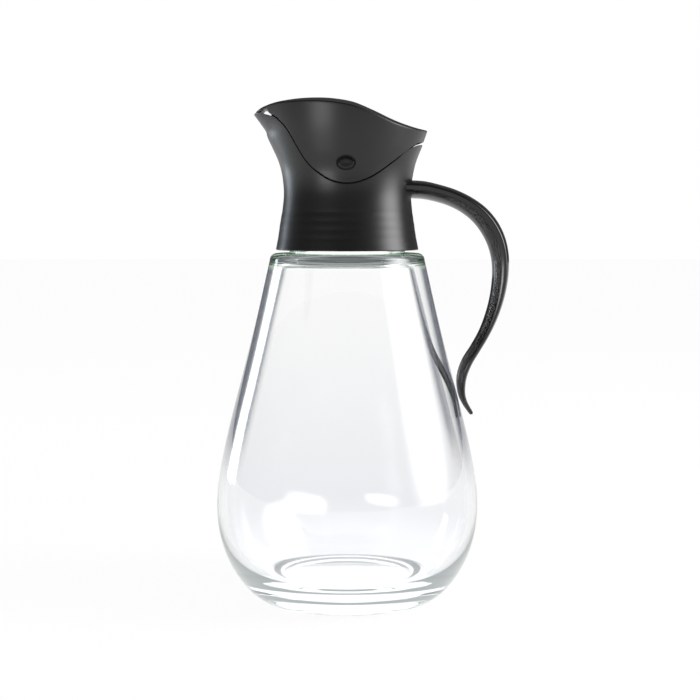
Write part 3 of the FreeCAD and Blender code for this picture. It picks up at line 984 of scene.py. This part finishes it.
@dataclass
class PourCollar:
    """The fixed part of the head, from its straight lower rim to the seam, the spout and the lid's ears."""

    form: HeadForm
    foot_z: float = 124.4
    bore_r: float = 20.54
    seat_z: float = 140.2
    seat_bore_r: float = 17.2
    seat_thickness: float = 1.6
    ear_r: float = 5.5
    ear_outer_y: float = 19.7
    ear_thickness: float = 2.0
    ear_foot_z: float = 141.8
    shank_hole_r: float = 1.55
    sink_rows: tuple[float, ...] = (128.6, 131.6, 134.6, 137.6)
    sink_depth: float = 0.05

    def outer(self, angle: float, z: float) -> float:
        """Outer radius, with the faint sinks that the screw thread inside leaves."""
        sink = sum(math.exp(-((z - row) / 0.7) ** 2) for row in self.sink_rows)
        return self.form.radius(angle, z, self.form.side) - self.sink_depth * sink

    def outline(self, angle: float) -> Profile:
        """The wall's closed section at one angle."""
        form = self.form
        cosine = math.cos(angle)
        ledge_z = self.seat_z + self.seat_thickness

        def inner(z: float) -> float:
            """Inner radius of the wall."""
            return form.radius(angle, z, form.side) - form.collar_wall

        top = first_root(lambda z: z - form.collar_edge(self.outer(angle, z) * cosine), RIM_FROM, RIM_TO)
        inner_top = first_root(lambda z: z - form.collar_edge(inner(z) * cosine), RIM_FROM, RIM_TO)
        outer_r, inner_r = self.outer(angle, top), inner(inner_top)
        floor = line_points((self.bore_r, self.foot_z), (self.outer(angle, self.foot_z), self.foot_z), 5)
        heights = [self.foot_z + (top - self.foot_z) * i / 59 for i in range(60)]
        skin_out = [(self.outer(angle, z), z) for z in heights]
        rim = [(outer_r, top)]
        across = line_points((outer_r, top), (inner_r, inner_top), 16)[1:-1]
        rim += [(r, form.collar_edge(r * cosine)) for r, _ in across]
        rim += [(inner_r, inner_top)]
        skin_in = [(inner(z), z) for z in (inner_top + (ledge_z - inner_top) * i / 19 for i in range(20))]
        ledge = line_points(skin_in[-1], (self.seat_bore_r, ledge_z), 4)
        lip = line_points((self.seat_bore_r, ledge_z), (self.seat_bore_r, self.seat_z), 3)
        seat = line_points((self.seat_bore_r, self.seat_z), (self.bore_r, self.seat_z), 4)
        bore = line_points((self.bore_r, self.seat_z), (self.bore_r, self.foot_z), 6)
        return rounded_outline((floor, skin_out, rim, skin_in, ledge, lip, seat, bore),
                               (0.3, 0.35, 0.2, 0.2, 0.6, 0.3, 0.3, 0.15))

    def ear(self, shape: bmesh.types.BMesh, side: int) -> None:
        """Adds one ear, a plate with a round top and the shank's hole."""
        px, pz = self.form.pivot
        faces = [side * y for y in (self.ear_outer_y - self.ear_thickness, self.ear_outer_y)]
        rings = []
        for i in range(ROUND_SIDES):
            turn = FULL_TURN * i / ROUND_SIDES
            c, s = math.cos(turn), math.sin(turn)
            reach = self.ear_r
            if s < 0.0:
                reach = min(self.ear_r / max(abs(c), 1e-6), (pz - self.ear_foot_z) / abs(s))
            ring = []
            radii = (self.shank_hole_r, reach - 0.3)
            for y, order in ((faces[0], radii), (faces[1], radii[::-1])):
                ring += [Vector((px + c * r, y, pz + s * r)) for r in order]
            middle = 0.5 * (faces[0] + faces[1])
            ring.insert(2, Vector((px + c * reach, middle - side * 0.7, pz + s * reach)))
            ring.insert(3, Vector((px + c * reach, middle + side * 0.7, pz + s * reach)))
            rings.append(ring)
        skin(shape, rings, True, True)

    def build(self, dresser: Dresser) -> list[bpy.types.Object]:
        """Makes the collar.

        Args:
            dresser: where its finish comes from.

        Returns:
            The collar alone.
        """
        shape = bmesh.new()
        skin(shape, turned_rings(self.outline, SPOUT_SECTORS), True, True)
        for side in (-1, 1):
            self.ear(shape, side)
        piece = finished(shape, "pouring_collar")
        piece.data.materials.append(dresser.material(Finish.SATIN))
        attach(piece, "base")
        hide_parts("pour_collar")
        return [piece]


@dataclass
class FlapLid:
    """The moving part of the head: a domed roof with a beak, over a skirt with the pivot's pockets.

    Where the beak is too thin for a skirt, less than solid_under between its edge and its ceiling, it is solid.
    """

    form: HeadForm
    least: float = 0.02
    solid_under: float = 0.05
    button_length: float = 5.4
    button_height: float = 3.6
    button_gap: float = 0.6
    pocket_depth: float = 1.1
    boss_r: float = 5.0
    boss_face_y: float = 20.0
    shank_hole_r: float = 1.5
    lip_wall: float = 0.7
    lip_fit: float = 0.35
    lip_drop: float = 1.2
    lip_rise: float = 1.6
    lip_weld: float = 0.15
    lip_ends_x: Point = (-24.6, -8.5)

    def outer(self, angle: float, z: float) -> float:
        """Outer radius of the skirt, cut off level at the beak."""
        cosine = math.cos(angle)
        radius = self.form.radius(angle, z, self.form.lid_side)
        return min(radius, self.form.beak_x / cosine) if cosine < -0.1 else radius

    def outline(self, angle: float) -> Profile:
        """The lid's section at one angle, from the roof's middle to the middle of its underside."""
        form = self.form
        c, s = math.cos(angle), math.sin(angle)

        def roof(r: float) -> float:
            """Height of the roof at a radius."""
            return form.roof(r * c, r * s)

        def edge(r: float) -> float:
            """Height of the lower edge at a radius."""
            return form.lid_edge(r * c)

        low = first_root(lambda z: z - edge(self.outer(angle, z)), RIM_FROM, EDGE_TO)
        low_r = self.outer(angle, low)
        top = first_root(lambda z: z - roof(self.outer(angle, z)), low + self.least, ROOF_TO)
        top_r = self.outer(angle, top)
        ceiling = first_root(lambda z: z - roof(form.lid_inner(angle, z)) + form.roof_wall,
                             CEILING_FROM, ROOF_TO)
        ceiling_r = form.lid_inner(angle, ceiling)
        if ceiling > edge(ceiling_r) + self.solid_under:
            inner_low = first_root(lambda z: z - edge(form.lid_inner(angle, z)), CEILING_FROM, ceiling)
            inner_low_r = form.lid_inner(angle, inner_low)
            heights = [inner_low + (ceiling - inner_low) * i / 23 for i in range(24)]
            skin_in = [(form.lid_inner(angle, z), z) for z in heights]
        else:
            inner_low_r = first_root(lambda r: roof(r) - form.roof_wall - edge(r),
                                     min(low_r - self.solid_under, 33.0), 15.0)
            inner_low = edge(inner_low_r)
            ceiling_r = inner_low_r - self.least
            ceiling = roof(ceiling_r) - form.roof_wall
            skin_in = line_points((inner_low_r, inner_low), (ceiling_r, ceiling), 24)
        crown = [(r, roof(r)) for r in (top_r * i / 39 for i in range(40))]
        skin_out = [(self.outer(angle, z), z) for z in (top + (low - top) * i / 43 for i in range(44))]
        rim = [(low_r, low)]
        rim += [(r, edge(r)) for r, _ in line_points((low_r, low), (inner_low_r, inner_low), 26)[1:-1]]
        rim += [(inner_low_r, inner_low)]
        under = [(r, roof(r) - form.roof_wall) for r in (ceiling_r * (1.0 - i / 23) for i in range(24))]
        return rounded_outline((crown, skin_out, rim, skin_in, under), (0.0, 0.45, 0.12, 0.1, 0.8),
                               closed=False)

    def boss(self, shape: bmesh.types.BMesh, side: int) -> None:
        """Adds the round boss that backs one pocket, with the shank's hole."""
        px, pz = self.form.pivot
        outer_y = self.form.radius(0.5 * math.pi, pz, self.form.lid_side) - self.pocket_depth - 0.05
        rings = []
        for i in range(ROUND_SIDES):
            turn = FULL_TURN * i / ROUND_SIDES
            c, s = math.cos(turn), math.sin(turn)
            order = ((self.shank_hole_r, self.boss_face_y), (self.boss_r - 0.3, self.boss_face_y),
                     (self.boss_r, self.boss_face_y + 0.3), (self.boss_r, outer_y - 0.4),
                     (self.shank_hole_r, outer_y))
            rings.append([Vector((px + c * r, side * y, pz + s * r)) for r, y in order])
        skin(shape, rings, True, True)

    def lip_section(self, angle: float) -> Profile:
        """The inner lip's section at one angle: a tongue in the collar's mouth and a bridge to the skirt."""
        form = self.form
        c = math.cos(angle)

        def point(side: SmoothLine, back: float, offset: float) -> Point:
            """The point so far inside a face and so far above the seam, square to it."""
            def past(z: float) -> float:
                """How far a height is above that place."""
                x = (form.radius(angle, z, side) - back) * c
                return z - form.seam.at(x) - offset * math.hypot(1.0, form.seam.slope(x))

            z = first_root(past, 142.0, 180.0, 1.0)
            r = form.radius(angle, z, side) - back
            return r, min(z, form.roof(r * c, r * math.sin(angle)) - 0.5 * form.roof_wall)

        tongue = form.collar_wall + self.lip_fit
        inner = tongue + self.lip_wall
        weld = form.lid_wall - self.lip_weld
        return [point(form.side, inner, -self.lip_drop), point(form.side, tongue, -self.lip_drop),
                point(form.side, tongue, form.seam_gap), point(form.lid_side, weld, form.seam_gap),
                point(form.lid_side, weld, self.lip_rise), point(form.side, inner, self.lip_rise)]

    def lip(self, shape: bmesh.types.BMesh, side: int) -> None:
        """Adds the lip inside the front edge on one side, which keeps light out of the seam."""
        form = self.form
        start, end = self.lip_ends_x
        rings = []
        for i in range(37):
            x = start + (end - start) * i / 36
            z = form.seam.at(x)
            back = form.collar_wall + self.lip_fit
            angle = first_root(lambda t: x - (form.radius(t, z, form.side) - back) * math.cos(t), 1.5, math.pi)
            c, s = math.cos(angle), side * math.sin(angle)
            rings.append([Vector((r * c, r * s, height)) for r, height in self.lip_section(angle)])
        for row, place in ((0, 0), (-1, len(rings) + 1)):
            centre = sum(rings[row], Vector()) / len(rings[row])
            rings.insert(place, [centre.copy() for _ in rings[row]])
        skin(shape, rings, False, True)

    def pocket_cutter(self, side: int) -> bpy.types.Object:
        """An oval plug that cuts one pocket, flared a little where it leaves the skirt."""
        face = self.form.radius(0.5 * math.pi, self.form.pivot[1], self.form.lid_side)
        a, b = 0.5 * self.button_length + self.button_gap, 0.5 * self.button_height + self.button_gap
        floor = face - self.pocket_depth
        steps = ((-a, -b, floor), (-0.15, -0.15, floor), (0.0, 0.0, floor + 0.15), (0.0, 0.0, face - 0.22),
                 (0.16, 0.16, face - 0.04), (0.5, 0.5, face + 0.3), (0.5, 0.5, face + 3.0), (-a, -b, face + 3.0))
        shape = bmesh.new()
        ovals = [(a + grow_a, b + grow_b, y) for grow_a, grow_b, y in steps]
        skin(shape, oval_rings(self.form.pivot, ovals, side, 96), False, True)
        return finished(shape, "pocket_cutter")

    def build(self, dresser: Dresser) -> list[bpy.types.Object]:
        """Makes the lid.

        Args:
            dresser: where its finish comes from.

        Returns:
            The lid alone.
        """
        shape = bmesh.new()
        sectors = ((78.0, 102.0, 0.75), *SPOUT_SECTORS, (258.0, 282.0, 0.75))
        skin(shape, turned_rings(self.outline, sectors), True, False)
        for side in (-1, 1):
            self.boss(shape, side)
            self.lip(shape, side)
        piece = finished(shape, "tilting_lid")
        for side in (-1, 1):
            cutter = self.pocket_cutter(side)
            cut = piece.modifiers.new("pocket", "BOOLEAN")
            cut.operation, cut.solver, cut.object = "DIFFERENCE", "EXACT", cutter
            bpy.context.view_layer.update()
            carved = bpy.data.meshes.new_from_object(piece.evaluated_get(bpy.context.evaluated_depsgraph_get()))
            piece.modifiers.clear()
            piece.data = carved
            bpy.data.objects.remove(cutter)
        piece.data.name = "tilting_lid"
        piece.data.set_sharp_from_angle(angle=math.radians(40.0))
        piece.data.materials.clear()
        piece.data.materials.append(dresser.material(Finish.SATIN))
        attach(piece, "lid")
        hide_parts("flap_lid")
        return [piece]


@dataclass
class PivotButtons:
    """The two oval buttons on the lid's pivot, each with its shank."""

    form: HeadForm
    length: float = 5.4
    height: float = 3.6
    shank_r: float = 1.5
    shank_end_y: float = 17.7
    sunk: float = 0.15
    pocket_depth: float = 1.1
    edge_round: float = 0.35

    def one(self, name: str, side: int) -> bpy.types.Object:
        """Makes the button on one side."""
        surface = self.form.radius(0.5 * math.pi, self.form.pivot[1], self.form.lid_side)
        face, floor = surface - self.sunk, surface - self.pocket_depth
        a, b, e = 0.5 * self.length, 0.5 * self.height, self.edge_round
        steps = [(0.0, 0.0, self.shank_end_y), (self.shank_r - 0.2, self.shank_r - 0.2, self.shank_end_y),
                 (self.shank_r, self.shank_r, self.shank_end_y + 0.2), (self.shank_r, self.shank_r, floor),
                 (a, b, floor)]
        for k in range(7):
            turn = 0.5 * math.pi * k / 6
            c, s = math.cos(turn), math.sin(turn)
            steps.append((a - e + e * c, b - e + e * c, face - e + e * s))
        steps += [((a - e) * t, (b - e) * t, face - 0.08 * (1.0 - t) ** 2) for t in (0.75, 0.5, 0.25, 0.0)]
        shape = bmesh.new()
        skin(shape, oval_rings(self.form.pivot, steps, side, 64), False, True)
        return finished(shape, name)

    def build(self, dresser: Dresser) -> list[bpy.types.Object]:
        """Makes both buttons.

        Args:
            dresser: where their finish comes from.

        Returns:
            The front and the back button.
        """
        pieces = []
        for name, side, node in (("oval_button_front", -1, "pivot_button_front"),
                                 ("oval_button_back", 1, "pivot_button_back")):
            piece = self.one(name, side)
            piece.data.materials.append(dresser.material(Finish.SATIN))
            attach(piece, "lid")
            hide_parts(node)
            pieces.append(piece)
        return pieces


# --- the handle -------------------------------------------------------------------------------------------
@dataclass
class HookHandle:
    """A strap that leaves the collar level, bends down in a long S and ends in a small tail by the glass.

    Each station is (x, z, thickness in the handle's own plane, width across) on its middle line.
    """

    stations: tuple[Station, ...] = (
        (22.0, 145.8, 6.4, 19.4), (27.0, 145.5, 6.35, 18.4), (32.0, 144.43, 6.2, 17.2),
        (37.2, 142.8, 6.25, 16.2), (42.25, 140.3, 6.45, 15.4), (46.9, 136.8, 6.8, 14.8),
        (50.5, 132.4, 7.0, 14.2), (53.05, 127.25, 6.8, 13.6), (54.35, 121.7, 6.35, 13.0),
        (54.55, 116.0, 5.9, 12.3), (53.95, 110.35, 5.5, 11.5), (52.75, 104.85, 5.05, 10.6),
        (50.95, 99.4, 4.6, 9.7), (48.65, 94.2, 4.15, 8.8), (45.75, 89.1, 4.0, 8.0),
        (42.85, 84.25, 4.1, 7.2), (41.05, 79.0, 3.75, 6.4), (40.95, 73.7, 2.85, 5.5),
        (42.2, 69.6, 2.0, 4.8), (44.9, 65.3, 1.45, 4.2))
    crease: float = 0.22
    edge_sharpness: float = 1.25
    tail_round: float = 1.0
    saddle_r: float = 21.9
    saddle_run: float = 8.0
    rows: int = 260
    sides: int = 72

    def build(self, dresser: Dresser) -> list[bpy.types.Object]:
        """Makes the handle.

        Args:
            dresser: where its finish comes from.

        Returns:
            The handle alone.
        """
        base = chain_mesh("handle_path", [Vector((s[0], 0.0, s[1])) for s in self.stations],
                          {"thickness": [s[2] for s in self.stations], "width": [s[3] for s in self.stations]})
        piece = grown("hook_handle", base, StrapTree(), {
            "Rows": self.rows, "Sides": self.sides, "Crease": self.crease,
            "Edge sharpness": self.edge_sharpness, "Tail round": self.tail_round * MM,
            "Saddle radius": self.saddle_r * MM, "Saddle run": self.saddle_run * MM,
            "Finish": dresser.material(Finish.GLOSS)})
        piece.data.set_sharp_from_angle(angle=math.radians(50.0))
        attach(piece, "base")
        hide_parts("handle")
        return [piece]


# --- the studio -------------------------------------------------------------------------------------------
@dataclass(frozen=True)
class SoftBox:
    """One large soft lamp, aimed at the dispenser."""

    name: str
    azimuth_deg: float
    height: float
    distance: float
    width: float
    tall: float
    power: float
    colour: tuple[float, float, float] = (1.0, 1.0, 1.0)
    fade: float = 0.48

    def build(self, target: Vector) -> bpy.types.Object:
        """Hangs the lamp at its azimuth, measured from the camera's side towards the handle's side."""
        data = bpy.data.lights.new(self.name, "AREA")
        data.shape = "RECTANGLE"
        data.size, data.size_y, data.energy, data.color = self.width, self.tall, self.power, self.colour
        data.use_nodes = True
        g = Graph(data.node_tree)
        across, up, _ = g.split(g.node("ShaderNodeNewGeometry", out="Parametric"))
        fades = [side.band(0.0, self.fade) for side in (across, 1.0 - across, up, 1.0 - up)]
        glow = g.node("ShaderNodeEmission", {}, {"Strength": fades[0] * fades[1] * fades[2] * fades[3]})
        g.node("ShaderNodeOutputLight", {}, {"Surface": glow})
        lamp = bpy.data.objects.new(self.name, data)
        bpy.context.scene.collection.objects.link(lamp)
        turn = math.radians(self.azimuth_deg)
        lamp.location = Vector((math.sin(turn) * self.distance, -math.cos(turn) * self.distance, self.height))
        lamp.rotation_euler = (target - lamp.location).to_track_quat("-Z", "Y").to_euler()
        lamp.visible_camera = False
        return lamp


@dataclass
class Studio:
    """A pale floor, soft lamps, a white surround and the camera."""

    camera_place: tuple[float, float, float] = (0.0010, -0.5348, 0.13725)
    camera_pitch_deg: float = 5.2
    lens_mm: float = 77.14
    floor_size: float = 8.0
    floor_glow: float = 0.93
    ambient: float = 0.75
    glossy_surround: float = 0.12
    target: tuple[float, float, float] = (0.0, 0.0, 0.1)
    lamps: tuple[SoftBox, ...] = (
        SoftBox("right_softbox", 82.0, 0.38, 0.75, 0.80, 1.10, 31.0),
        SoftBox("left_strip", -128.0, 0.06, 0.80, 0.20, 0.80, 4.5, (0.80, 0.90, 1.0)),
        SoftBox("low_left_soft", -36.0, 0.060, 0.60, 0.50, 0.12, 2.4),
    )

    def build_camera(self) -> None:
        """Places the camera level with the dispenser's middle, looking slightly down along +Y."""
        data = bpy.data.cameras.new("camera")
        data.lens, data.sensor_width = self.lens_mm, 36.0
        camera = bpy.data.objects.new("camera", data)
        camera.location = self.camera_place
        camera.rotation_euler = (math.radians(90.0 - self.camera_pitch_deg), 0.0, 0.0)
        bpy.context.scene.collection.objects.link(camera)
        bpy.context.scene.camera = camera

    def build_floor(self) -> None:
        """Lays a white floor that keeps the dispenser's faint shadow."""
        shape = bmesh.new()
        half = 0.5 * self.floor_size
        corners = [shape.verts.new((x, y, -0.00005)) for x, y in ((-half, -half), (half, -half), (half, half),
                                                                   (-half, half))]
        shape.faces.new(corners)
        mesh = bpy.data.meshes.new("studio_floor")
        shape.to_mesh(mesh)
        shape.free()
        floor = bpy.data.objects.new("studio_floor", mesh)
        bpy.context.scene.collection.objects.link(floor)
        material, g = new_material("pale_floor")
        matt = g.node("ShaderNodeBsdfDiffuse", {}, {"Color": (0.9, 0.9, 0.9, 1.0)})
        glow = g.node("ShaderNodeEmission", {}, {"Color": (1.0, 1.0, 1.0, 1.0), "Strength": 1.0})
        seen = self.seen_rays(g) * self.floor_glow
        mixed = g.node("ShaderNodeMixShader", {}, {0: seen, 1: matt, 2: glow})
        g.node("ShaderNodeOutputMaterial", {}, {"Surface": mixed})
        mesh.materials.append(material)

    @staticmethod
    def seen_rays(g: Graph) -> Value:
        """1 on rays from the camera, and on those that glass and gloss send on."""
        path = g.node("ShaderNodeLightPath", out="Is Camera Ray")
        return (path + path.out("Is Glossy Ray") + path.out("Is Transmission Ray")).at_most(1.0)

    def build_world(self) -> None:
        """Makes the surround: white to the camera and through glass, softer as light on the pieces."""
        world = bpy.data.worlds.new("studio_world")
        bpy.context.scene.world = world
        world.use_nodes = True
        g = Graph(world.node_tree)
        path = g.node("ShaderNodeLightPath", out="Is Camera Ray")
        clear = (path + path.out("Is Transmission Ray")).at_most(1.0)
        gloss = path.out("Is Glossy Ray") * (1.0 - clear)
        rest = 1.0 - clear - gloss
        strength = clear + gloss * self.glossy_surround + rest * self.ambient
        back = g.node("ShaderNodeBackground", {}, {"Color": (1.0, 1.0, 1.0, 1.0), "Strength": strength})
        g.node("ShaderNodeOutputWorld", {}, {"Surface": back})

    def build(self) -> None:
        """Sets up the whole studio."""
        bpy.context.scene.view_settings.view_transform = "Standard"
        self.build_camera()
        self.build_floor()
        self.build_world()
        for lamp in self.lamps:
            lamp.build(Vector(self.target))


def main() -> None:
    """Builds the dispenser's pieces in order, then the studio, and writes both sizes."""
    logging.basicConfig(level=logging.INFO, format="%(name)s: %(message)s")
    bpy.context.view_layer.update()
    dresser = Dresser()
    form = HeadForm()
    for maker in (GlassBottle(), PourCollar(form), FlapLid(form), PivotButtons(form), HookHandle()):
        for piece in maker.build(dresser):
            LOG.info("%s: %d faces", piece.name, len(piece.data.polygons))
    Studio().build()


if __name__ == "__main__":
    main()
